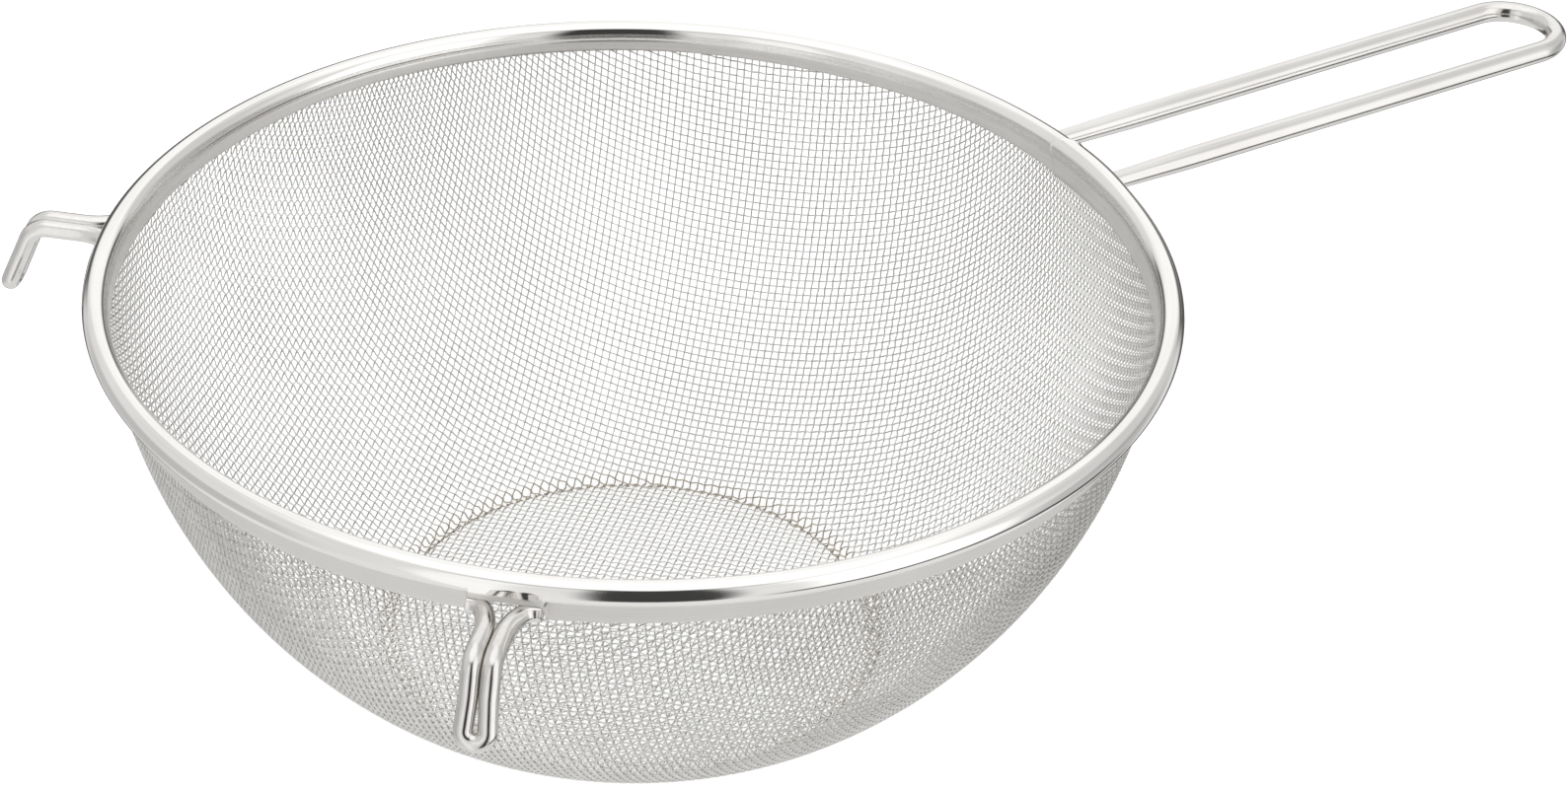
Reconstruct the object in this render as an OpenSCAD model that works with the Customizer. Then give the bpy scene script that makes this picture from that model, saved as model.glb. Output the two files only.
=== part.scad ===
// Round wire-cloth strainer with a rolled sheet rim, a long bent-wire handle
// and two bent-wire rest hooks. Millimetres, +Z up. The handle lies along +X
// and the origin is in the middle of the plane the foot bead rests on.

/* [Bowl] */
// Outer diameter over the rolled rim
rim_d = 210; // [200:1:240]
// Lean of the wall just below the rim, degrees from vertical
wall_lean = 7.9; // [5:0.1:11]
// Radius of the upper wall curve
upper_r = 107.9; // [95:0.1:115]
// Turn of the upper wall curve in degrees
upper_turn = 38.1; // [34:0.1:42]
// Radius of the lower wall curve
lower_r = 78.2; // [70:0.1:90]
// Turn of the lower wall curve in degrees
lower_turn = 16; // [12:0.5:20]
// Thickness of the wire cloth over its crossings
cloth_t = 0.7; // [0.5:0.05:0.8]
// Width of the foot bead pressed into the cloth
foot_w = 3; // [2.6:0.1:5]
// Depth of the foot bead below the floor
foot_drop = 1; // [0.8:0.1:2]

/* [Rim] */
// Diameter of the rolled bead
bead_d = 4.8; // [4.7:0.1:5.6]
// Sheet thickness of the rim strip
strip_t = 0.5; // [0.4:0.05:0.5]
// Diameter of the ring wire inside the bead
ring_wire_d = 3.5; // [3:0.1:3.6]
// Length of the outer skirt below the bead centre
outer_skirt = 7.3; // [5:0.1:10]
// Length of the inner skirt below the bead centre
inner_skirt = 3.35; // [2.5:0.05:4.5]
// Half width of each notch in the outer skirt at a rest hook
notch_half = 6.6; // [5:0.1:9]

/* [Handle] */
// Diameter of the handle wire
handle_d = 4.5; // [4:0.1:5]
// Diameter of the handle wire where it is pressed in under the bead
neck_d = 3.7; // [3.5:0.1:4]
// Length over which the wire narrows towards the bead
neck_len = 22; // [10:1:40]
// Distance from the bowl axis to the far end of the loop
handle_reach = 235.9; // [180:0.1:300]
// Distance between the two legs at the loop, wire centre to wire centre
loop_gap = 20.4; // [16:0.1:26]
// Spread of each leg along the handle in degrees
leg_spread = 0.2; // [0.1:0.05:1]
// Drop of the handle wire centre below the bead centre
handle_drop = 3.5; // [3.2:0.1:3.8]

/* [Rest hooks] */
// Diameter of the hook wire
hook_d = 3.5; // [3:0.1:3.6]
// Direction of the front hook, degrees from the handle
front_hook_angle = -133.4; // [-150:0.1:-110]
// Direction of the rear hook, degrees from the handle
rear_hook_angle = 136.7; // [110:0.1:150]
// Straight level length of the front hook
front_hook_level = 4.6; // [2:0.1:12]
// Straight level length of the rear hook
rear_hook_level = 6.4; // [2:0.1:12]
// Straight sloping length of the front hook
front_hook_leg = 4.9; // [4:0.1:15]
// Straight sloping length of the rear hook
rear_hook_leg = 5.6; // [4:0.1:15]
// Downward bend of a hook in degrees
hook_slope = 66.5; // [45:0.5:80]

/* [Hidden] */
$fn = 128;

gap = 0.04;
overlap = 0.1;
swell = 0.04;
bead_r = bead_d / 2;
ring_r = rim_d / 2 - bead_r;
hollow_r = bead_r - strip_t;

// Rim layers, measured outward from the bead centre in the leaning rim frame
inner_leg_x = -bead_r + 0.06;
slot_x = inner_leg_x + strip_t;
slot_w = cloth_t + 2 * gap;
outer_leg_x = slot_x + slot_w;
cloth_x = slot_x + slot_w / 2;
cloth_top = 1.75;
wall_start = 4.95;

// Wall curve: end points of the two arcs and their centres, seen in the
// radius and height plane with the bead centre at height zero
lean_1 = wall_lean + upper_turn;
lean_2 = lean_1 + lower_turn;
p0 = [ring_r + cloth_x * cos(wall_lean) - wall_start * sin(wall_lean),
    -cloth_x * sin(wall_lean) - wall_start * cos(wall_lean)];
c1 = p0 + upper_r * [-cos(wall_lean), sin(wall_lean)];
p1 = c1 + upper_r * [cos(lean_1), -sin(lean_1)];
c2 = p1 + lower_r * [-cos(lean_1), sin(lean_1)];
p2 = c2 + lower_r * [cos(lean_2), -sin(lean_2)];
foot_z = p2[1] - foot_drop;
rim_z = cloth_t / 2 + swell / 2 - foot_z;
foot_path = [p2, [p2[0] - 0.5, foot_z], [p2[0] + 0.5 - foot_w, foot_z], p2 - [foot_w, 0]];

// Handle and hook wires
handle_z = rim_z - handle_drop;
loop_r = loop_gap / 2 / cos(leg_spread);
loop_x = handle_reach - handle_d / 2 - loop_r;
leg_end = ring_r - 0.9;
leg_len = (loop_x - loop_r * sin(leg_spread) - leg_end) / cos(leg_spread);
leg_start_y = loop_gap / 2 - leg_len * sin(leg_spread);
neck_r = neck_d / 2;
hook_r = hook_d / 2;
foot_bend = 3.2;
sweep_bend = 12;
knee_bend = 4.5;
spread_bend = 20;
hook_spread = 3.5;
foot_turn = 60;
foot_end = 0.5;
foot_u = ring_r + 1.3;
foot_drop_z = sqrt(pow(bead_r + hook_r + gap, 2) - pow(foot_u - ring_r, 2));
foot_v = hook_r + gap / 2 + foot_bend * sin(foot_turn)
    + sweep_bend * (1 - sin(foot_turn)) + foot_end;

// Runs and bends of one hook wire from a foot down to its end bend
function half_hook(level, leg) = [
    [foot_end],
    [foot_bend, foot_turn, 0],
    [sweep_bend, 90 - foot_turn, 0],
    [level],
    [knee_bend, hook_slope, -90],
    [3],
    [spread_bend, hook_spread, 0],
    [leg]
];

function hook_loop_r(leg) = (hook_r + gap / 2 + spread_bend * (1 - cos(hook_spread))
    + leg * sin(hook_spread)) / cos(hook_spread);

function hook_path(half, leg) = concat(half, [[hook_loop_r(leg), 180 + 2 * hook_spread, 180]],
    [for (k = [len(half) - 1:-1:0]) half[k]]);

// Flat strip between two points of the profile plane
module strip(a, b, t) {
    translate(a)
        rotate(atan2(b[1] - a[1], b[0] - a[0]))
            translate([0, -t / 2])
                square([norm(b - a), t]);
}

// Curved strip of the profile plane, between two leans of the wall
module curve(c, r, from, to, t) {
    translate(c)
        rotate(-to)
            intersection() {
                difference() {
                    circle(r = r + t / 2, $fn = 360);
                    circle(r = r - t / 2, $fn = 360);
                }
                polygon([[0, 0], [2 * r, 0], [2 * r * cos(to - from), 2 * r * sin(to - from)]]);
            }
}

// One straight of wire along +X, or one bend that starts along +X
module wire_run(d, step, more) {
    if (len(step) == 1)
        translate([-more, 0, 0])
            rotate([0, 90, 0])
                cylinder(d = d, h = step[0] + 2 * more, $fn = 64);
    else
        rotate([0, 0, -90 - more / step[0] * 180 / PI])
            rotate_extrude(angle = step[1] + 2 * more / step[0] * 180 / PI)
                translate([step[0], 0])
                    circle(d = d, $fn = 64);
}

// Round bent wire that starts along +X. A step is [length] for a straight
// or [bend radius, angle, roll of the bend plane] for a bend. Every second
// run is a hair thinner and reaches a little way into its neighbours.
module wire(d, steps, i = 0) {
    if (i < len(steps)) {
        step = steps[i];
        run_d = i % 2 == 0 ? d - swell : d;
        more = i % 2 == 0 ? overlap : 0;
        if (len(step) == 1) {
            wire_run(run_d, step, more);
            translate([step[0], 0, 0])
                wire(d, steps, i + 1);
        } else {
            rotate([step[2], 0, 0])
                translate([0, step[0], 0]) {
                    wire_run(run_d, step, more);
                    rotate([0, 0, step[1]])
                        translate([0, -step[0], 0])
                            rotate([-step[2], 0, 0])
                                wire(d, steps, i + 1);
                }
        }
    }
}

module bead_ring(r) {
    translate([0, 0, rim_z])
        rotate_extrude()
            translate([ring_r, 0])
                circle(r = r, $fn = 64);
}

// The outer skirt of the rim, a little oversize
module skirt_zone() {
    translate([0, 0, rim_z])
        rotate_extrude()
            translate([ring_r, 0])
                rotate(-wall_lean)
                    translate([outer_leg_x - gap, -outer_skirt - 1])
                        square([strip_t + 1, outer_skirt - 1.3]);
}

// Notch that clears the outer skirt for the hook at the given angle
module notch(angle) {
    intersection() {
        skirt_zone();
        rotate([0, 0, angle])
            translate([ring_r - 6, 0, rim_z - outer_skirt - 1.5])
                rotate([90, 0, 90])
                    linear_extrude(height = 10)
                        polygon([[-notch_half - 1.8, 0], [notch_half + 1.8, 0],
                            [notch_half, outer_skirt], [-notch_half, outer_skirt]]);
    }
}

module hook(angle, level, leg) {
    rotate([0, 0, angle])
        translate([foot_u, foot_v, rim_z - foot_drop_z])
            rotate([0, 0, -90])
                wire(hook_d, hook_path(half_hook(level, leg), leg));
}

// Weld fillets in the groove between the bead and the two feet of a hook
module hook_weld_pair(angle) {
    rotate([0, 0, angle])
        difference() {
            for (side = [-1, 1])
                translate([ring_r - 0.6, side * (foot_v - 1.1), rim_z - foot_drop_z + 1.1])
                    rotate([90, 0, 0])
                        cylinder(r = 1.3, h = 2.2, center = true, $fn = 48);
            bead_ring(bead_r + gap / 2);
            translate([foot_u, 0, rim_z - foot_drop_z])
                rotate([90, 0, 0])
                    cylinder(r = hook_r + gap / 2, h = 30, center = true);
        }
}

module mesh_bowl() {
    color("Silver")
        translate([0, 0, rim_z])
            rotate_extrude() {
                strip(p0 - overlap * [sin(wall_lean), cos(wall_lean)],
                    p0 + (wall_start - cloth_top) * [sin(wall_lean), cos(wall_lean)],
                    cloth_t - swell);
                curve(c1, upper_r, wall_lean, lean_1, cloth_t);
                curve(c2, lower_r, lean_1 - 0.2, lean_2, cloth_t - swell);
                strip(foot_path[0], foot_path[1], cloth_t - swell);
                strip(foot_path[1], foot_path[2], cloth_t + swell);
                strip(foot_path[2], foot_path[3], cloth_t - swell);
                strip([0, p2[1]], foot_path[3], cloth_t - swell);
                for (corner = foot_path)
                    translate(corner)
                        circle(d = cloth_t, $fn = 32);
            }
}

module rim_band() {
    color("Gainsboro")
        difference() {
            translate([0, 0, rim_z])
                rotate_extrude()
                    translate([ring_r, 0])
                        rotate(-wall_lean)
                            difference() {
                                union() {
                                    circle(r = bead_r, $fn = 64);
                                    translate([inner_leg_x, -inner_skirt])
                                        square([strip_t, inner_skirt]);
                                    translate([outer_leg_x, -outer_skirt])
                                        square([strip_t, outer_skirt - 2]);
                                }
                                circle(r = hollow_r, $fn = 64);
                                translate([slot_x, -outer_skirt - 1])
                                    square([slot_w, outer_skirt + 1]);
                            }
            notch(front_hook_angle);
            notch(rear_hook_angle);
        }
}

module ring_wire() {
    color("DarkGray")
        bead_ring(ring_wire_d / 2);
}

// Places its child where the right leg starts, with the leg along local X
module at_leg() {
    translate([leg_end, -leg_start_y, handle_z])
        rotate([0, 0, -leg_spread])
            children();
}

// One narrowed end of the handle wire
module handle_neck(more) {
    at_leg()
        rotate([0, 90, 0])
            cylinder(r1 = neck_r + more, r2 = handle_d / 2 - swell + more, h = neck_len + overlap);
}

module handle_loop() {
    color("LightGray")
        difference() {
            union() {
                at_leg()
                    translate([neck_len, 0, 0])
                        wire(handle_d + swell, [[leg_len - neck_len],
                            [loop_r, 180 + 2 * leg_spread, 0], [leg_len - neck_len]]);
                handle_neck(0);
                mirror([0, 1, 0])
                    handle_neck(0);
            }
            bead_ring(bead_r + gap);
        }
}

// Weld fillet round one leg where it meets the bead
module handle_weld() {
    difference() {
        at_leg()
            translate([2.2, 0, 0])
                rotate([0, 90, 0])
                    cylinder(r1 = neck_r + 0.9, r2 = neck_r + 0.2, h = 2.4);
        handle_neck(gap / 2);
    }
}

module handle_welds() {
    color("DimGray")
        difference() {
            union() {
                handle_weld();
                mirror([0, 1, 0])
                    handle_weld();
            }
            bead_ring(bead_r + gap / 2);
        }
}

module front_hook() {
    color("LightGray")
        hook(front_hook_angle, front_hook_level, front_hook_leg);
}

module front_hook_welds() {
    color("DimGray")
        hook_weld_pair(front_hook_angle);
}

module rear_hook() {
    color("LightGray")
        hook(rear_hook_angle, rear_hook_level, rear_hook_leg);
}

module rear_hook_welds() {
    color("DimGray")
        hook_weld_pair(rear_hook_angle);
}

mesh_bowl();
rim_band();
ring_wire();
handle_loop();
handle_welds();
front_hook();
front_hook_welds();
rear_hook();
rear_hook_welds();
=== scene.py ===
import math

import bpy
import numpy as np
from mathutils import Matrix, Vector


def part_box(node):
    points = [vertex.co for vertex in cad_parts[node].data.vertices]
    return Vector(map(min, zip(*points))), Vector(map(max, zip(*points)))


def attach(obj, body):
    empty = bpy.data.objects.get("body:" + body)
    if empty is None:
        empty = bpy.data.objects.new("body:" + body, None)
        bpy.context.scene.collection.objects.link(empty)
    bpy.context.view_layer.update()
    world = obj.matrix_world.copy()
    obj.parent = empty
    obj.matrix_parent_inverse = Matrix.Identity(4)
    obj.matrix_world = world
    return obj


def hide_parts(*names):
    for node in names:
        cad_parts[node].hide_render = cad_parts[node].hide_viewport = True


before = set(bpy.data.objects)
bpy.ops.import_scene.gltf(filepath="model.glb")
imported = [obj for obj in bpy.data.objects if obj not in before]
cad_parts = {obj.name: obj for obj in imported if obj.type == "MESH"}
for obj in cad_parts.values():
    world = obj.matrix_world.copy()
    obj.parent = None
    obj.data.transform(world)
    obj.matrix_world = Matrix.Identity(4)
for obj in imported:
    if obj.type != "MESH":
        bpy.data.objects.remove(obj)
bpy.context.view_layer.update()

MM = 0.001
PI = math.pi
BODY = "root"

# ---------------------------------------------------------------- sizes, mm
# bead and ring wire, taken from the CAD; the strip's thickness
ring_lo, ring_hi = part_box("ring_wire")
RIM_Z = (ring_lo.z + ring_hi.z) / 2 / MM
RING_WIRE_R = (ring_hi.z - ring_lo.z) / 2 / MM
RING_R = ring_hi.x / MM - RING_WIRE_R
BEAD_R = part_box("rim_band")[1].z / MM - RIM_Z
STRIP_T = 0.5
HOLLOW_R = BEAD_R - STRIP_T

# the folded strip, in a frame at the bead's centre that leans with the wall
LEAN = math.radians(7.9)
SLOT_X = -BEAD_R + 0.06 + STRIP_T
CLOTH_X = SLOT_X + 0.39
OUTER_LEG_X = SLOT_X + 0.78
CREASE = 1.1
HOLLOW_CREASE = 0.474
EDGE_R, EDGE_CUT = 0.18, 0.12
LIP = np.array([2.66, -1.85])
LIP_TURN, LIP_SWEEP = 0.25, 0.86
NOTCH_TURN, NOTCH_SWEEP = -0.1, 0.8
NOTCH_SIDES = ((6.0, 7.2), (6.3, 8.2))
WOBBLE = ((0.035, 5, 0.7), (0.03, 11, 2.1))

# how far the two edges of the strip reach below the bead's centre, by azimuth
SKIRT_AZ = (-180, -164, -149, -129, -104, -83, -69, -62, -34, -24, -12, 1, 2.5,
            14, 26, 42, 56, 70, 98, 112, 126, 131, 146, 151, 180)
INNER_LEN = (4.5, 4.5, 4.5, 4.5, 4.6, 4.8, 5.0, 5.1, 5.4, 5.4, 5.2, 5.0, 4.7,
             4.2, 4.0, 3.75, 3.4, 3.2, 3.5, 3.9, 4.2, 4.3, 4.4, 4.4, 4.5)
OUTER_LEN = (8.1, 8.2, 8.2, 7.8, 7.4, 7.5, 7.5, 7.4, 6.4, 5.0, 4.1, 3.9, 3.9,
             3.9, 3.9, 3.9, 3.9, 3.9, 3.9, 3.9, 4.0, 4.4, 5.8, 6.3, 8.1)

# the overlap of the strip's two ends: azimuth, step height and rolled edge.
# Its edge bows back by SEAM_BOW degrees, SEAM_SPAN degrees round the bead from
# SEAM_MID, and never by more than SEAM_MOST.
SEAM = math.radians(1.6)
LAP_T, LAP_RIDGE = 0.34, 0.16
SEAM_BOW, SEAM_MID, SEAM_SPAN, SEAM_MOST = 0.75, 168, 55, 2.2
STEP_W, RIDGE_AT, RIDGE_W = math.radians(0.14), math.radians(0.22), math.radians(0.2)
LAP_FADE = math.radians(6), math.radians(16)

# wall of two arcs, straight under the rim, and the foot bead round the base
UPPER_R, UPPER_TURN = 107.9, math.radians(38.1)
LOWER_R, LOWER_TURN = 78.2, math.radians(16.0)
WALL_START, CLOTH_TOP = 4.95, 1.9
FOOT_W, FOOT_DROP = 3.0, 1.0

# wire cloth
PITCH = 1.5875
CLOTH_WIRE_R = 0.158
CRIMP = 0.185
WEAVE_ANGLE = math.radians(43.0)
CLOTH_GROUPS = 8

# handle: wire radius, pressed neck, gap between the legs, drop below the bead
HANDLE_R, NECK_R, NECK_LEN = 2.25, 1.85, 22.0
LOOP_GAP, LEG_SPREAD, HANDLE_DROP = 20.4, math.radians(0.2), 3.5
LEG_END = RING_R - 0.9
HANDLE_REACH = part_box("handle_loop")[1].x / MM

# hooks: name, azimuth in degrees, length of the level part and of the legs
HOOK_R = 1.75
HOOKS = (
    ("front_hook", -133.4, 4.6, 4.9),
    ("rear_hook", 136.7, 6.4, 5.6),
)
FOOT_STUB, FOOT_BEND, FOOT_TURN, SWEEP = 0.5, 3.2, 60, 12
KNEE, KNEE_TURN, KNEE_OUT, SPREAD_R, SPREAD = 4.5, 66.5, 3.0, 20, 3.5
FOOT_OUT = 1.3
FOOT_U = RING_R + FOOT_OUT
FOOT_Z = RIM_Z - math.sqrt((BEAD_R + HOOK_R + 0.04) ** 2 - FOOT_OUT**2)
FOOT_V = (HOOK_R + 0.02 + FOOT_BEND * math.sin(math.radians(FOOT_TURN))
          + SWEEP * (1 - math.sin(math.radians(FOOT_TURN))) + FOOT_STUB)

# welds: places against the hook's feet, and (along, radius) outlines
WELD_IN, WELD_BACK, WELD_UP = 0.4, 1.1, 1.0
HOOK_LUMP = ((-1.5, 0.2), (-1.3, 0.7), (-0.7, 1.15), (0, 1.3), (0.7, 1.15), (1.3, 0.7), (1.5, 0.2))
HANDLE_FILLET = ((1.6, 0.4), (1.9, NECK_R + 0.7), (2.4, NECK_R + 0.85), (2.9, NECK_R + 0.55),
                 (3.5, NECK_R + 0.3), (4.3, NECK_R + 0.14), (5.0, NECK_R - 0.1), (5.1, 0.4))


# ------------------------------------------------------------ mesh builders
def make_mesh(name, verts, quads, ngons=(), smooth=True):
    """A mesh object from vertices in mm, an array of quads and a few other faces."""
    verts = np.asarray(verts, dtype=np.float64) * MM
    quads = np.asarray(quads, dtype=np.int32).reshape(-1, 4)
    loops = [quads.ravel()]
    starts = [np.arange(len(quads), dtype=np.int32) * 4]
    at = len(quads) * 4
    for face in ngons:
        loops.append(np.asarray(face, dtype=np.int32))
        starts.append(np.array([at], dtype=np.int32))
        at += len(face)
    loops = np.concatenate(loops)
    starts = np.concatenate(starts)
    me = bpy.data.meshes.new(name)
    me.vertices.add(len(verts))
    me.vertices.foreach_set("co", verts.ravel())
    me.loops.add(len(loops))
    me.loops.foreach_set("vertex_index", loops)
    me.polygons.add(len(starts))
    me.polygons.foreach_set("loop_start", starts)
    me.update(calc_edges=True)
    me.validate()
    if smooth:
        me.shade_smooth()
    ob = bpy.data.objects.new(name, me)
    bpy.context.scene.collection.objects.link(ob)
    return ob


def unit(v):
    return v / np.maximum(np.linalg.norm(v, axis=-1, keepdims=True), 1e-12)


def smoothstep(a, b, x):
    t = np.clip((x - a) / (b - a), 0, 1)
    return t * t * (3 - 2 * t)


def tube_rings(points, normals, radii, sides):
    """Rings of vertices round a path, with the given vectors as the zero direction."""
    tangent = unit(np.gradient(points, axis=0))
    side = unit(np.cross(tangent, normals))
    up = np.cross(side, tangent)
    turn = np.arange(sides) * 2 * PI / sides
    ring = (np.cos(turn)[None, :, None] * up[:, None, :]
            + np.sin(turn)[None, :, None] * side[:, None, :])
    radii = np.broadcast_to(np.asarray(radii, float), (len(points),))
    return points[:, None, :] + ring * radii[:, None, None]


def tube_quads(count, sides, first=0):
    """Quads that join consecutive rings of a tube."""
    a = np.arange(count - 1)[:, None] * sides + np.arange(sides)[None, :] + first
    b = np.arange(count - 1)[:, None] * sides + (np.arange(sides)[None, :] + 1) % sides + first
    return np.stack([a, b, b + sides, a + sides], axis=-1).reshape(-1, 4)


def carried_normals(points, start):
    """A reference vector carried along a path without twist."""
    tangent = unit(np.gradient(points, axis=0))
    out = [start - tangent[0] * np.dot(start, tangent[0])]
    for t in tangent[1:]:
        v = out[-1] - t * np.dot(out[-1], t)
        out.append(v / np.linalg.norm(v))
    out[0] = out[0] / np.linalg.norm(out[0])
    return np.array(out)


def bent_wire(steps, start, heading, up):
    """Centre line of a wire: straights (length,) and bends (radius, angle, roll)."""
    pos, x, z = np.array(start, float), np.array(heading, float), np.array(up, float)
    x, z = x / np.linalg.norm(x), z / np.linalg.norm(z)
    pts = [pos.copy()]
    for step in steps:
        if len(step) == 1:
            n = max(1, int(math.ceil(step[0] / 0.8)))
            for k in range(1, n + 1):
                pts.append(pos + x * step[0] * k / n)
            pos = pos + x * step[0]
            continue
        radius, angle, roll = step[0], math.radians(step[1]), math.radians(step[2])
        y = np.cross(z, x)
        toward = y * math.cos(roll) + z * math.sin(roll)
        axis = np.cross(x, toward)
        n = max(3, int(math.ceil(math.degrees(angle) / 4)))
        for k in range(1, n + 1):
            t = angle * k / n
            pts.append(pos + x * radius * math.sin(t) + toward * radius * (1 - math.cos(t)))
        pos = pts[-1].copy()
        turn = np.array(Matrix.Rotation(angle, 3, Vector(axis)))
        x, z = turn @ x, turn @ z
    return np.array(pts)


END_ROUND = 0.35


def rounded_tube(name, path, radius, sides, up, shape=None):
    """A solid wire along a path with lightly rounded cut ends."""
    rim = END_ROUND
    normals = carried_normals(path, np.array(up, float))
    dist = np.concatenate([[0], np.cumsum(np.linalg.norm(np.diff(path, axis=0), axis=1))])
    total = dist[-1]
    extra = np.array([0, 0.04, 0.12, 0.22, rim])
    extra = np.concatenate([extra, total - extra[::-1]])
    keep = dist[(dist > rim + 0.1) & (dist < total - rim - 0.1)]
    at = np.sort(np.concatenate([extra, keep]))
    pts = np.stack([np.interp(at, dist, path[:, k]) for k in range(3)], axis=-1)
    nor = unit(np.stack([np.interp(at, dist, normals[:, k]) for k in range(3)], axis=-1))
    edge = np.minimum(at, total - at)
    soft = np.where(edge < rim, rim - np.sqrt(np.maximum(rim**2 - (rim - edge) ** 2, 0)), 0)
    size = np.full(len(at), radius) if shape is None else shape(at, total)
    rings = tube_rings(pts, nor, size - soft * 0.8, sides)
    quads = tube_quads(len(pts), sides)
    last = (len(pts) - 1) * sides
    caps = [list(range(sides))[::-1], [last + k for k in range(sides)]]
    return make_mesh(name, rings.reshape(-1, 3), quads, caps)


# ------------------------------------------------------------ bowl profile
SPARE = 12
GRID_STEP = 0.05
SLOPE_BLUR = 31


def blurred(values):
    """Running mean, so that the normals turn gently at the joints of the arcs."""
    half = SLOPE_BLUR // 2
    kernel = np.ones(SLOPE_BLUR) / SLOPE_BLUR
    return np.convolve(np.pad(values, half, mode="edge"), kernel, mode="valid")


def profile():
    """Radius, height and slope of the middle of the cloth against distance from the centre.

    The table runs SPARE mm beyond the cloth's own end."""
    lean_1 = LEAN + UPPER_TURN
    lean_2 = lean_1 + LOWER_TURN
    p0 = np.array([
        RING_R + CLOTH_X * math.cos(LEAN) - WALL_START * math.sin(LEAN),
        RIM_Z - CLOTH_X * math.sin(LEAN) - WALL_START * math.cos(LEAN),
    ])
    c1 = p0 + UPPER_R * np.array([-math.cos(LEAN), math.sin(LEAN)])
    p1 = c1 + UPPER_R * np.array([math.cos(lean_1), -math.sin(lean_1)])
    c2 = p1 + LOWER_R * np.array([-math.cos(lean_1), math.sin(lean_1)])
    p2 = c2 + LOWER_R * np.array([math.cos(lean_2), -math.sin(lean_2)])
    pts = [np.array([r, p2[1]]) for r in np.linspace(0, p2[0], 400)]
    for t in np.linspace(lean_2, lean_1, 240)[1:]:
        pts.append(c2 + LOWER_R * np.array([math.cos(t), -math.sin(t)]))
    for t in np.linspace(lean_1, LEAN, 700)[1:]:
        pts.append(c1 + UPPER_R * np.array([math.cos(t), -math.sin(t)]))
    up = np.array([math.sin(LEAN), math.cos(LEAN)])
    top = WALL_START - CLOTH_TOP
    for t in np.linspace(0, top + SPARE, 120)[1:]:
        pts.append(p0 + up * t)
    pts = np.array(pts)
    s = np.concatenate([[0], np.cumsum(np.linalg.norm(np.diff(pts, axis=0), axis=1))])
    grid = np.arange(0, s[-1], GRID_STEP)
    r = np.interp(grid, s, pts[:, 0])
    z = np.interp(grid, s, pts[:, 1])
    dr = np.gradient(r, grid)
    dz = np.gradient(z, grid)
    return grid, r, z, dr, dz, blurred(dr), blurred(dz), s[-1] - SPARE, p2[0]


GRID, PR, PZ, PDR, PDZ, SDR, SDZ, S_END, BASE_R = profile()


def on_bowl(s, phi):
    """Points at distances s from the centre, along the cloth, at azimuths phi."""
    r, z = np.interp(s, GRID, PR), np.interp(s, GRID, PZ)
    return np.stack([r * np.cos(phi), r * np.sin(phi), z], axis=-1)


NEWTON_STEPS = 14


def weave_net():
    """Crossings of a cloth of square cells draped on the bowl, for one quarter of it.

    Two wires run straight from the centre. Every other crossing lies one pitch
    from two earlier ones, and is found from them by Newton's method."""
    n = int(S_END / PITCH) + 14
    S = np.full((n, n), np.nan)
    F = np.full((n, n), np.nan)
    S[:, 0] = np.arange(n) * PITCH
    F[:, 0] = 0
    S[0, :] = np.arange(n) * PITCH
    F[0, 1:] = PI / 2
    limit = S_END + 2.5 * PITCH
    S[S > limit] = np.nan
    for d in range(2, 2 * n - 1):
        i = np.arange(max(1, d - n + 1), min(n - 1, d - 1) + 1)
        j = d - i
        ok = ~(np.isnan(S[i - 1, j]) | np.isnan(S[i, j - 1]))
        i, j = i[ok], j[ok]
        if not len(i):
            continue
        A = on_bowl(S[i - 1, j], F[i - 1, j])
        B = on_bowl(S[i, j - 1], F[i, j - 1])
        C = on_bowl(S[i - 1, j - 1], F[i - 1, j - 1])
        guess = A + B - C
        s = S[i - 1, j] + S[i, j - 1] - S[i - 1, j - 1]
        f = np.arctan2(guess[:, 1], guess[:, 0])
        for _ in range(NEWTON_STEPS):
            r = np.interp(s, GRID, PR)
            z = np.interp(s, GRID, PZ)
            dr, dz = np.interp(s, GRID, PDR), np.interp(s, GRID, PDZ)
            c, sn = np.cos(f), np.sin(f)
            P = np.stack([r * c, r * sn, z], axis=-1)
            ps = np.stack([dr * c, dr * sn, dz], axis=-1)
            pf = np.stack([-r * sn, r * c, 0 * r], axis=-1)
            ea = ((P - A) ** 2).sum(1) - PITCH**2
            eb = ((P - B) ** 2).sum(1) - PITCH**2
            j11, j12 = 2 * ((P - A) * ps).sum(1), 2 * ((P - A) * pf).sum(1)
            j21, j22 = 2 * ((P - B) * ps).sum(1), 2 * ((P - B) * pf).sum(1)
            det = j11 * j22 - j12 * j21
            det = np.where(np.abs(det) < 1e-9, 1e-9, det)
            ds = (ea * j22 - eb * j12) / det
            df = (eb * j11 - ea * j21) / det
            s = s - np.clip(ds, -0.8, 0.8)
            f = f - np.clip(df, -0.5, 0.5)
        bad = (s > limit) | (s < 0) | (f < -0.05) | (f > PI / 2 + 0.05)
        s[bad] = np.nan
        S[i, j], F[i, j] = s, f
    return S, F


def weave_grid():
    """The whole net: distance, place and normal of each crossing, indexed from its corner."""
    S, F = weave_net()
    n = S.shape[0]
    size = 2 * n - 1
    s = np.full((size, size), np.nan)
    f = np.full((size, size), np.nan)
    i, j = np.meshgrid(np.arange(n), np.arange(n), indexing="ij")
    for q in range(4):
        a, b = i.copy(), j.copy()
        for _ in range(q):
            a, b = -b, a
        s[a + n - 1, b + n - 1] = S
        f[a + n - 1, b + n - 1] = F + q * PI / 2
    s[n - 1, n - 1] = 0
    f[n - 1, n - 1] = 0
    f = f + WEAVE_ANGLE
    place = on_bowl(np.nan_to_num(s), f)
    dr = np.interp(np.nan_to_num(s), GRID, SDR)
    dz = np.interp(np.nan_to_num(s), GRID, SDZ)
    normal = unit(np.stack([dz * np.cos(f), dz * np.sin(f), -dr], axis=-1))
    return s, place, normal, n - 1


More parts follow.
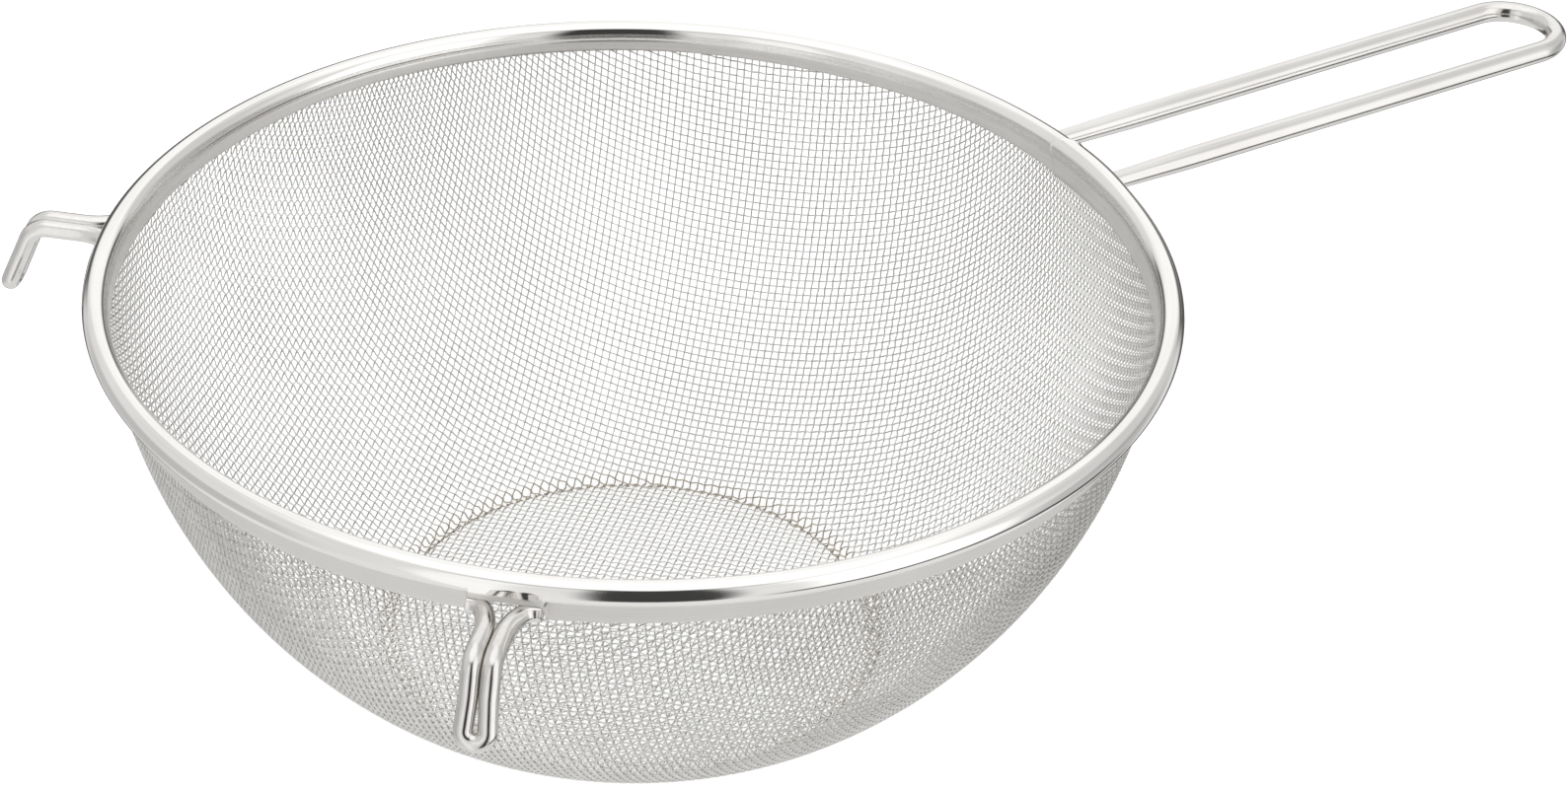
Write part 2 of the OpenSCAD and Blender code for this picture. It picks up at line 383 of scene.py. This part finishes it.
def foot_bead(points):
    """Presses the foot bead into points of the cloth."""
    r = np.hypot(points[:, 0], points[:, 1])
    u = np.clip((r - (BASE_R - FOOT_W)) / FOOT_W, 0, 1)
    drop = FOOT_DROP * smoothstep(0.0, 0.27, u) * (1 - smoothstep(0.73, 1.0, u))
    out = points.copy()
    out[:, 2] -= drop
    return out


STEPS, FINER = 3, 4
CLOTH_SIDES = 6


def cloth_wire(s, place, normal, phase):
    """Centre line and normals of one wavy wire through a row of crossings."""
    ok = np.where(s <= S_END)[0]
    if len(ok) < 3:
        return None
    a, b = ok[0], ok[-1]
    a = a - 1 if a > 0 and not np.isnan(s[a - 1]) else a
    b = b + 1 if b < len(s) - 1 and not np.isnan(s[b + 1]) else b
    u = np.arange(a * STEPS * FINER, b * STEPS * FINER + 1) / (STEPS * FINER)
    k = np.arange(a, b + 1)
    dist = np.interp(u, k, s[a:b + 1])
    in_bead = np.abs(dist - (BASE_R - FOOT_W / 2)) < FOOT_W / 2 + 0.4
    keep = (dist <= S_END) & ((np.arange(len(u)) % FINER == 0) | in_bead)
    u = u[keep]
    pts = np.stack([np.interp(u, k, place[a:b + 1, c]) for c in range(3)], axis=-1)
    nor = unit(np.stack([np.interp(u, k, normal[a:b + 1, c]) for c in range(3)], axis=-1))
    pts = foot_bead(pts)
    wave = CRIMP * np.cos(PI * (u + phase))
    return pts + nor * wave[:, None], nor


def cloth_family(label, s, place, normal, flip):
    """All wires of one direction, in a few pieces of neighbouring wires."""
    sides = CLOTH_SIDES
    wires = []
    for row in range(s.shape[0]):
        got = cloth_wire(s[row], place[row], normal[row], row + flip)
        if got is not None and len(got[0]) > 8:
            wires.append(got)
    lengths = np.array([len(w[0]) for w in wires])
    share = np.cumsum(lengths) / lengths.sum() * CLOTH_GROUPS
    made = []
    for g in range(CLOTH_GROUPS):
        pick = [w for w, at in zip(wires, share) if g < at <= g + 1 + 1e-9]
        verts, quads, caps, first = [], [], [], 0
        for pts, nor in pick:
            rings = tube_rings(pts, nor, CLOTH_WIRE_R, sides)
            verts.append(rings.reshape(-1, 3))
            quads.append(tube_quads(len(pts), sides, first))
            last = first + (len(pts) - 1) * sides
            caps.append([first + k for k in range(sides)][::-1])
            caps.append([last + k for k in range(sides)])
            first += len(pts) * sides
        made.append(make_mesh(f"cloth_{label}_{g + 1}", np.concatenate(verts),
                              np.concatenate(quads), caps))
    return made


# -------------------------------------------------------------- rim band
LEG_PTS, ROUND_PTS, SKIRT_PTS = 7, 52, 9
OUTSIDE_PTS = LEG_PTS + ROUND_PTS + SKIRT_PTS


def azimuths():
    """Azimuths of the rim sections, closer together at the notches and the seam."""
    parts = [np.linspace(0, 2 * PI, 420, endpoint=False)]
    for _, angle, _, _ in HOOKS:
        c = math.radians(angle)
        for side in (-1, 1):
            parts.append(c + side * np.linspace(3.1, 5.0, 40) * PI / 180)
    parts.append(SEAM + np.linspace(-2.6, 0.3, 90) * PI / 180)
    return np.unique(np.round(np.concatenate(parts) % (2 * PI), 5))


def on_circle(radius, angle):
    return np.array([radius * math.cos(angle), radius * math.sin(angle)])


def rim_section(inner_len, outer_len, flare, cut):
    """Points of the folded strip in the leaning rim frame.

    They run up the inner leg, over the bead, down the outer skirt and back
    along the inside of the strip. flare 0 is the bead that meets the skirt,
    1 the short lip over a hook foot; cut 0 is the full skirt, 1 the notch."""
    pts = []
    face = -math.sqrt(BEAD_R**2 - CREASE**2)
    for t in np.linspace(0, 1, LEG_PTS):
        pts.append((face, -inner_len + 0.15 + t * (inner_len - 0.2 - CREASE)))

    x1 = OUTER_LEG_X + STRIP_T
    x2 = OUTER_LEG_X
    a0 = PI + math.asin(CREASE / BEAD_R)
    a1 = -math.acos(x1 / BEAD_R)
    leave = on_circle(BEAD_R, LIP_TURN)
    for t in np.linspace(0, 1, ROUND_PTS):
        a = a0 + (a1 - a0) * t
        p = on_circle(BEAD_R, a)
        if a < LIP_TURN:
            q = leave + (LIP - leave) * ((LIP_TURN - a) / (LIP_TURN - a1)) * LIP_SWEEP
            p = p + (q - p) * flare
        pts.append(p)

    z1 = -math.sqrt(BEAD_R**2 - x1**2)
    end = np.array(pts[-1])
    for t in np.linspace(0.02, 1, SKIRT_PTS):
        p = np.array([x1, z1 + (-outer_len + EDGE_R - z1) * t])
        q = end + (LIP - end) * t
        pts.append(p + (q - p) * cut)
    for turn in (30, 60, 90):
        c = math.radians(turn)
        p = np.array([x1 - EDGE_R + EDGE_R * math.cos(c),
                      -outer_len + EDGE_R - EDGE_R * math.sin(c)])
        q = LIP + np.array([-EDGE_CUT + EDGE_CUT * math.cos(c), -EDGE_CUT * math.sin(c)])
        pts.append(p + (q - p) * cut)
    for p, q in (((x2 + 0.1, -outer_len), (-0.32, -EDGE_CUT)),
                 ((x2, -outer_len + EDGE_CUT), (-0.5, -0.02))):
        pts.append(np.array(p) + (LIP + np.array(q) - np.array(p)) * cut)

    z2 = -math.sqrt(HOLLOW_R**2 - x2**2)
    inside_lip = LIP + np.array([-0.5, 0.0])
    corner = on_circle(HOLLOW_R, NOTCH_TURN)
    for t in np.linspace(0.1, 1, 6):
        p = np.array([x2, -outer_len + EDGE_CUT + (z2 + outer_len - EDGE_CUT) * t])
        q = inside_lip + (corner - inside_lip) * t * NOTCH_SWEEP
        pts.append(p + (q - p) * cut)
    b0 = math.atan2(z2, x2)
    b1 = PI + math.asin(HOLLOW_CREASE / HOLLOW_R)
    start = np.array(pts[-1])
    for t in np.linspace(0, 1, 24)[1:]:
        a = b0 + (b1 - b0) * t
        p = on_circle(HOLLOW_R, a)
        if a < NOTCH_TURN:
            q = start + (corner - start) * (a - b0) / (NOTCH_TURN - b0)
            p = p + (q - p) * cut
        pts.append(p)
    for t in np.linspace(0.15, 1, 5):
        pts.append((SLOT_X, -HOLLOW_CREASE + (-inner_len + EDGE_CUT + HOLLOW_CREASE) * t))
    pts.append((SLOT_X - 0.1, -inner_len))
    pts.append((face + 0.1, -inner_len))
    return np.array([tuple(p) for p in pts])


def notch_shares(azimuth):
    """How far the section is flared into a lip and how far its skirt is cut away."""
    flare, cut = 0.0, 0.0
    for _, angle, _, _ in HOOKS:
        arc = ((azimuth - math.radians(angle) + PI) % (2 * PI) - PI) * RING_R
        near, far = NOTCH_SIDES[int(arc > 0)]
        flare = max(flare, float(1 - smoothstep(near, far, abs(arc))))
        cut = max(cut, float(1 - smoothstep(near + 0.15, near + 0.6, abs(arc))))
    return flare, cut


def lapped(sec, azimuth):
    """Raises the outside of the section where one end of the strip overlaps the other.

    The end's edge is curved, so where the step falls depends on the place
    round the section, given in degrees round the bead."""
    off = (azimuth - SEAM + PI) % (2 * PI) - PI
    turn = np.degrees(np.arctan2(sec[:, 1], sec[:, 0])) % 360
    turn[LEG_PTS + ROUND_PTS:] = 60
    edge = -np.minimum(SEAM_BOW * ((turn - SEAM_MID) / SEAM_SPAN) ** 2, SEAM_MOST) * PI / 180
    raised = smoothstep(0.0, STEP_W, edge - off)
    fade = 1 - smoothstep(*LAP_FADE, -off)
    ridge = LAP_RIDGE * np.exp(-((edge - off - RIDGE_AT) / RIDGE_W) ** 2)
    outside = np.arange(len(sec)) < OUTSIDE_PTS
    lift = (LAP_T * raised * fade + ridge) * outside
    return sec * (1 + (lift / np.hypot(sec[:, 0], sec[:, 1])))[:, None]


def rim_band():
    """The folded strip all the way round, with its notches, seam and slight waviness."""
    phi = azimuths()
    verts = []
    for a in phi:
        deg = (math.degrees(a) + 180) % 360 - 180
        inner_len = np.interp(deg, SKIRT_AZ, INNER_LEN)
        outer_len = np.interp(deg, SKIRT_AZ, OUTER_LEN)
        sec = lapped(rim_section(inner_len, outer_len, *notch_shares(a)), a)
        wobble = sum(size * math.sin(k * a + shift) for size, k, shift in WOBBLE)
        x = sec[:, 0] * math.cos(LEAN) + sec[:, 1] * math.sin(LEAN)
        z = -sec[:, 0] * math.sin(LEAN) + sec[:, 1] * math.cos(LEAN)
        r = RING_R + x + wobble * 0.5
        height = RIM_Z + z + wobble * 0.4
        verts.append(np.stack([r * math.cos(a), r * math.sin(a), height], axis=-1))
    n, count = len(phi), len(verts[0])
    a = np.arange(n)[:, None] * count + np.arange(count)[None, :]
    b = (np.arange(n)[:, None] + 1) % n * count + np.arange(count)[None, :]
    a2, b2 = np.roll(a, -1, axis=1), np.roll(b, -1, axis=1)
    quads = np.stack([a, a2, b2, b], axis=-1).reshape(-1, 4)
    return make_mesh("rim_band_rolled", np.concatenate(verts), quads)


# ------------------------------------------------- handle, hooks and welds
HANDLE_SIDES, HOOK_SIDES, BLOB_SIDES = 40, 32, 28
BLOB_SEED = 3


def handle():
    """The long wire loop, and the sideways place and height of its two ends."""
    loop_r = LOOP_GAP / 2 / math.cos(LEG_SPREAD)
    loop_x = HANDLE_REACH - HANDLE_R - loop_r
    leg = (loop_x - loop_r * math.sin(LEG_SPREAD) - LEG_END) / math.cos(LEG_SPREAD)
    y0 = LOOP_GAP / 2 - leg * math.sin(LEG_SPREAD)
    z = RIM_Z - HANDLE_DROP
    steps = [(leg,), (loop_r, 180 + 2 * math.degrees(LEG_SPREAD), 0), (leg,)]
    heading = (math.cos(LEG_SPREAD), -math.sin(LEG_SPREAD), 0)
    path = bent_wire(steps, (LEG_END, -y0, z), heading, (0, 0, 1))

    def size(at, total):
        d = np.minimum(at, total - at)
        return NECK_R + (HANDLE_R - NECK_R) * smoothstep(2, NECK_LEN + 6, d)

    wire = rounded_tube("handle_loop_bent", path, HANDLE_R, HANDLE_SIDES, (0, 0, 1), size)
    return wire, y0, z


def hook(name, angle, level, leg):
    """One hook wire, bent double: foot, level part, knee, leg and end loop, and back."""
    half = [(FOOT_STUB,), (FOOT_BEND, FOOT_TURN, 0), (SWEEP, 90 - FOOT_TURN, 0), (level,),
            (KNEE, KNEE_TURN, -90), (KNEE_OUT,), (SPREAD_R, SPREAD, 0), (leg,)]
    c = math.cos(math.radians(SPREAD))
    loop_r = (HOOK_R + 0.02 + SPREAD_R * (1 - c) + leg * math.sin(math.radians(SPREAD))) / c
    steps = half + [(loop_r, 180 + 2 * SPREAD, 180)] + half[::-1]
    path = bent_wire(steps, (FOOT_U, FOOT_V, FOOT_Z), (0, -1, 0), (0, 0, 1))
    a = math.radians(angle)
    turn = np.array([[math.cos(a), -math.sin(a), 0], [math.sin(a), math.cos(a), 0], [0, 0, 1]])
    up = turn @ np.array([0.3, 0, 1.0])
    return rounded_tube(name + "_bent", path @ turn.T, HOOK_R, HOOK_SIDES, up)


def weld_blobs(name, places, outline):
    """Closed lumps turned about their own axes, with a little unevenness."""
    sides = BLOB_SIDES
    rng = np.random.default_rng(BLOB_SEED)
    turn = np.arange(sides) * 2 * PI / sides
    verts, quads, caps, first = [], [], [], 0
    for centre, axis in places:
        centre, axis = np.array(centre, float), unit(np.array(axis, float))
        side = unit(np.cross(axis, [0.2, 0.1, 1.0]))
        up = np.cross(side, axis)
        waves = rng.uniform(-1, 1, (3, 2))
        uneven = 1 + 0.05 * sum(size * np.cos((k + 2) * turn + 3 * shift)
                                for k, (size, shift) in enumerate(waves))
        around = np.cos(turn)[:, None] * up + np.sin(turn)[:, None] * side
        for along, r in outline:
            verts.append(centre + axis * along + around * (r * uneven)[:, None])
        quads.append(tube_quads(len(outline), sides, first))
        last = first + (len(outline) - 1) * sides
        caps.append([first + k for k in range(sides)][::-1])
        caps.append([last + k for k in range(sides)])
        first += len(outline) * sides
    return make_mesh(name, np.concatenate(verts), np.concatenate(quads), caps)


# -------------------------------------------------------------- materials
class Nodes:
    """Short spelling for building a node tree."""

    def __init__(self, tree):
        self.tree = tree

    def add(self, kind, inputs=None, **props):
        node = self.tree.nodes.new(kind)
        for key, value in props.items():
            setattr(node, key, value)
        for key, value in (inputs or {}).items():
            if hasattr(value, "is_output"):
                self.tree.links.new(value, node.inputs[key])
            else:
                node.inputs[key].default_value = value
        return node

    def math(self, op, a, b=0.0):
        return self.add("ShaderNodeMath", {0: a, 1: b}, operation=op).outputs[0]

    def times(self, a, b):
        return self.math("MULTIPLY", a, b)

    def radius(self, x, y):
        return self.math("SQRT", self.math("ADD", self.times(x, x), self.times(y, y)))

    def vector(self, x, y, z):
        return self.add("ShaderNodeCombineXYZ", {0: x, 1: y, 2: z}).outputs[0]

    def dot(self, a, b):
        node = self.add("ShaderNodeVectorMath", {0: a, 1: b}, operation="DOT_PRODUCT")
        return node.outputs["Value"]

    def map_range(self, value, start, end, first, last, **props):
        inputs = {"Value": value, "From Min": start, "From Max": end,
                  "To Min": first, "To Max": last}
        return self.add("ShaderNodeMapRange", inputs, **props).outputs[0]

    def ramp(self, fac, stops):
        node = self.add("ShaderNodeValToRGB", {"Fac": fac})
        els = node.color_ramp.elements
        while len(els) > 1:
            els.remove(els[-1])
        els[0].position, els[0].color = stops[0][0], (*stops[0][1], 1)
        for pos, col in stops[1:]:
            els.new(pos).color = (*col, 1)
        return node.outputs["Color"]

    def noise(self, vector, scale, detail):
        inputs = {"Vector": vector, "Scale": scale, "Detail": detail, "Roughness": 0.55}
        return self.add("ShaderNodeTexNoise", inputs).outputs["Fac"]


# darker, browner band of the cloth round the foot bead, in metres
TINT_R, TINT_EDGE, TINT_TOP = 0.04945, 0.0012, 0.004
TINT = (0.50, 0.455, 0.38, 1)
SATIN_FADE, SATIN_ROUGH = 0.0006, 0.62
# how fast the fine lines change along and across the metal, per radian or metre
RING_ALONG, RING_ACROSS = 2.2, 1500.0
WIRE_ALONG, WIRE_ACROSS = 30.0, 1400.0
ANY_GRAIN = (700.0, 700.0, 240.0)


def steel(name, light, dark, rough, grain, bump, tint_ring=False, satin_below=None):
    """Stainless steel with fine grain, soft colour variation and handling marks.

    grain is the way the fine lines run: "ring", "x" or "any". tint_ring makes
    the cloth darker and browner round the foot bead. Below the height satin_below the surface is
    dull."""
    mat = bpy.data.materials.new(name)
    mat.use_nodes = True
    n = Nodes(mat.node_tree)
    bsdf = mat.node_tree.nodes["Principled BSDF"]
    coord = n.add("ShaderNodeTexCoord").outputs["Object"]
    x, y, z = n.add("ShaderNodeSeparateXYZ", {0: coord}).outputs
    if grain == "ring":
        vec = n.vector(n.times(n.math("ARCTAN2", y, x), RING_ALONG),
                       n.times(n.radius(x, y), RING_ACROSS), n.times(z, RING_ACROSS))
    elif grain == "x":
        vec = n.vector(n.times(x, WIRE_ALONG), n.times(y, WIRE_ACROSS), n.times(z, WIRE_ACROSS))
    else:
        vec = n.add("ShaderNodeVectorMath", {0: coord, 1: ANY_GRAIN},
                    operation="MULTIPLY").outputs[0]
    streak = n.noise(vec, 1.0, 4.0)
    cloud = n.noise(coord, 38.0, 3.0)
    speck = n.noise(coord, 900.0, 2.0)

    mixed = n.math("ADD", n.times(streak, 0.45), n.times(cloud, 0.55))
    col = n.ramp(mixed, [(0.30, dark), (0.62, light)])
    if tint_ring:
        off = n.math("ABSOLUTE", n.math("SUBTRACT", n.radius(x, y), TINT_R))
        near = n.math("SUBTRACT", 2.2, n.times(off, 1 / TINT_EDGE))
        near.node.use_clamp = True
        share = n.times(n.times(near, n.math("LESS_THAN", z, TINT_TOP)), 0.9)
        mix = n.add("ShaderNodeMix", {"Factor": share}, data_type="RGBA")
        n.tree.links.new(col, mix.inputs[6])
        mix.inputs[7].default_value = TINT
        col = mix.outputs[2]
    n.tree.links.new(col, bsdf.inputs["Base Color"])
    bsdf.inputs["Metallic"].default_value = 1.0

    uneven = n.math("ADD", n.times(n.math("SUBTRACT", cloud, 0.5), 0.16),
                    n.times(n.math("SUBTRACT", speck, 0.5), 0.05))
    nicks = n.map_range(n.noise(vec, 0.55, 2.0), 0.68, 0.74, 0.0, 0.22)
    ro = n.math("ADD", n.math("ADD", rough, uneven), nicks)
    if satin_below is not None:
        satin = n.map_range(z, satin_below, satin_below + SATIN_FADE, SATIN_ROUGH, 0.0)
        ro = n.math("ADD", ro, satin)
    n.tree.links.new(ro, bsdf.inputs["Roughness"])

    height = n.math("ADD", streak, n.times(speck, 0.3))
    relief = n.add("ShaderNodeBump", {"Height": height, "Strength": bump, "Distance": 0.00004})
    n.tree.links.new(relief.outputs[0], bsdf.inputs["Normal"])
    return mat


def dress(ob, mat, node):
    """Gives a piece its material and body, and hides the CAD node it stands for."""
    ob.data.materials.clear()
    ob.data.materials.append(mat)
    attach(ob, BODY)
    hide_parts(node)


# ------------------------------------------------------------------ build
SHEET = steel("rolled_sheet", (0.90, 0.885, 0.865), (0.81, 0.795, 0.77), 0.07, "ring", 0.1,
              satin_below=(RIM_Z - 1.4) * MM)
WIRE = steel("handle_steel", (0.80, 0.785, 0.765), (0.69, 0.67, 0.645), 0.16, "x", 0.12)
HOOK = steel("hook_steel", (0.80, 0.785, 0.765), (0.69, 0.67, 0.645), 0.17, "any", 0.12)
CLOTH = steel("cloth_steel", (0.79, 0.78, 0.76), (0.61, 0.60, 0.58), 0.13, "any", 0.06,
              tint_ring=True)
WELD = steel("weld_steel", (0.42, 0.40, 0.37), (0.24, 0.21, 0.18), 0.42, "any", 0.5)
CORE = steel("core_steel", (0.5, 0.5, 0.5), (0.36, 0.36, 0.36), 0.4, "ring", 0.2)

s, place, normal, centre = weave_grid()
for ob in cloth_family("warp", s, place, normal, centre):
    dress(ob, CLOTH, "mesh_bowl")
for ob in cloth_family("weft", s.T, place.transpose(1, 0, 2), normal.transpose(1, 0, 2),
                       centre + 1):
    dress(ob, CLOTH, "mesh_bowl")

dress(rim_band(), SHEET, "rim_band")
loop, leg_y, leg_z = handle()
dress(loop, WIRE, "handle_loop")
for name, angle, level, leg in HOOKS:
    dress(hook(name, angle, level, leg), HOOK, name)

spots = [((LEG_END, side * leg_y, leg_z), (1, side * 0.003, 0)) for side in (1, -1)]
dress(weld_blobs("handle_weld_fillets", spots, HANDLE_FILLET), WELD, "handle_welds")
for name, angle, _, _ in HOOKS:
    a = math.radians(angle)
    out = np.array([math.cos(a), math.sin(a), 0])
    along = np.array([-math.sin(a), math.cos(a), 0])
    spots = []
    for side in (-1, 1):
        spot = out * (RING_R - WELD_IN) + along * side * (FOOT_V - WELD_BACK)
        spots.append((spot + np.array([0, 0, FOOT_Z + WELD_UP]), along))
    dress(weld_blobs(name + "_weld_fillets", spots, HOOK_LUMP), WELD, name + "_welds")

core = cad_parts["ring_wire"]
core.data.materials.clear()
core.data.materials.append(CORE)

# ------------------------------------------------------------------ stage
FLOOR = 2500
corners = [(-FLOOR, -FLOOR, 0), (FLOOR, -FLOOR, 0), (FLOOR, FLOOR, 0), (-FLOOR, FLOOR, 0)]
floor = make_mesh("floor", corners, [(0, 1, 2, 3)], smooth=False)
pale = bpy.data.materials.new("floor_pale")
pale.use_nodes = True
inputs = pale.node_tree.nodes["Principled BSDF"].inputs
inputs["Base Color"].default_value = (0.9, 0.9, 0.9, 1)
inputs["Roughness"].default_value = 0.9
inputs["Specular IOR Level"].default_value = 0.0
inputs["Emission Color"].default_value = (1, 1, 1, 1)
inputs["Emission Strength"].default_value = 0.55
floor.data.materials.append(pale)
floor.visible_glossy = False

# camera: angles, then distance and shift in rim radii of UNIT mm, then lens in mm
CAM_AZ, CAM_EL, CAM_ROLL = math.radians(-34.0), 0.573612, -0.039140
CAM_D, CAM_U, CAM_V = 7.0, -0.26920225, 0.2095062
CAM_LENS, CAM_SENSOR = 87.918502, 36.0
UNIT = 105.0

se, ce = math.sin(CAM_EL), math.cos(CAM_EL)
sr, cr = math.sin(CAM_ROLL), math.cos(CAM_ROLL)
spin = Matrix.Rotation(CAM_AZ, 3, "Z")
right = spin @ (Vector((1, 0, 0)) * cr - Vector((0, se, ce)) * sr)
up = spin @ (Vector((1, 0, 0)) * sr + Vector((0, se, ce)) * cr)
back = spin @ Vector((0, -ce, se))
a, b = -cr * CAM_U - sr * CAM_V, sr * CAM_U - cr * CAM_V
pos = spin @ Vector((a, b * se - CAM_D * ce, b * ce + CAM_D * se)) * UNIT
pos = (pos + Vector((0, 0, RIM_Z))) * MM
cam_data = bpy.data.cameras.new("camera")
cam_data.lens, cam_data.sensor_width = CAM_LENS, CAM_SENSOR
cam_data.clip_start, cam_data.clip_end = 0.01, 50
cam = bpy.data.objects.new("camera", cam_data)
cam.matrix_world = Matrix((
    (right.x, up.x, back.x, pos.x),
    (right.y, up.y, back.y, pos.y),
    (right.z, up.z, back.z, pos.z),
    (0, 0, 0, 1)))
bpy.context.scene.collection.objects.link(cam)
bpy.context.scene.camera = cam

# brightness of the studio tent round the object, seen only in reflections.
# Azimuth from the camera's side and elevation, each (middle, half width,
# softness) in degrees, then the brightness added there.
TENT = 0.86
PANELS = (
    ((0, 400, 10), (90, 32, 10), 0.42),
    ((58, 21, 5), (5, 48, 6), 0.42),
    ((-30, 9, 4), (-5, 52, 8), 0.22),
    ((122, 26, 10), (22, 26, 10), -0.16),
    ((180, 30, 8), (28, 32, 6), 0.24),
    ((-180, 30, 8), (28, 32, 6), 0.24),
    ((-105, 60, 20), (10, 40, 20), -0.05),
)
# dark gaps, with the share of light they take; the first value says whether
# the gap is there on both sides of the camera
GAPS = (
    (False, (79, 46, 6), (-35, 6, 2), 0.9),
    (True, (157, 17, 5), (-19, 31, 6), 0.88),
    (True, (0, 42, 16), (53, 4, 3), 0.4),
    (False, (8, 14, 4), (8, 48, 6), 0.94),
    (False, (105, 22, 10), (-12, 22, 8), 0.35),
    (False, (-100, 34, 12), (-14, 24, 8), 0.3),
)

world = bpy.data.worlds.new("tent")
bpy.context.scene.world = world
world.use_nodes = True
world.node_tree.nodes.clear()
w = Nodes(world.node_tree)
direction = w.add("ShaderNodeTexCoord").outputs["Generated"]
front = Vector((back.x, back.y, 0)).normalized()
beside = Vector((-front.y, front.x, 0))
azimuth = w.times(w.math("ARCTAN2", w.dot(direction, beside), w.dot(direction, front)), 180 / PI)
height = w.add("ShaderNodeSeparateXYZ", {0: direction}).outputs[2]
elevation = w.times(w.math("ARCSINE", height), 180 / PI)
either_side = w.math("ABSOLUTE", azimuth)


def inside(value, middle, half, soft):
    """One inside a range of angles and zero outside, with a soft edge."""
    off = w.math("ABSOLUTE", w.math("SUBTRACT", value, middle))
    return w.map_range(off, half - soft, half + soft, 1.0, 0.0, interpolation_type="SMOOTHSTEP")


tent = TENT
for az, el, gain in PANELS:
    both = w.times(inside(azimuth, *az), inside(elevation, *el))
    tent = w.math("ADD", tent, w.times(both, gain))
for paired, az, el, share in GAPS:
    both = w.times(inside(either_side if paired else azimuth, *az), inside(elevation, *el))
    tent = w.times(tent, w.math("SUBTRACT", 1.0, w.times(both, share)))

rays = w.add("ShaderNodeLightPath").outputs
mirrored, soft, seen = (
    w.add("ShaderNodeBackground", {"Color": colour, "Strength": strength}).outputs[0]
    for colour, strength in ((tent, 1.0), ((1, 1, 1, 1), 0.6), ((1, 1, 1, 1), 1.0)))
lit = w.add("ShaderNodeMixShader", {0: rays["Is Glossy Ray"], 1: soft, 2: mirrored}).outputs[0]
sky = w.add("ShaderNodeMixShader", {0: rays["Is Camera Ray"], 1: lit, 2: seen}).outputs[0]
w.add("ShaderNodeOutputWorld", {0: sky})

light = bpy.data.lights.new("top_light", "AREA")
light.shape, light.size, light.energy = "DISK", 0.9, 3
lamp = bpy.data.objects.new("top_light", light)
lamp.location = (-0.2, 0.3, 1.3)
aim = Vector((0.05, 0, 0.05)) - lamp.location
lamp.rotation_euler = aim.to_track_quat("-Z", "Y").to_euler()
bpy.context.scene.collection.objects.link(lamp)
lamp.visible_glossy = False

bpy.context.scene.view_settings.view_transform = "Standard"
bpy.context.scene.view_settings.look = "None"
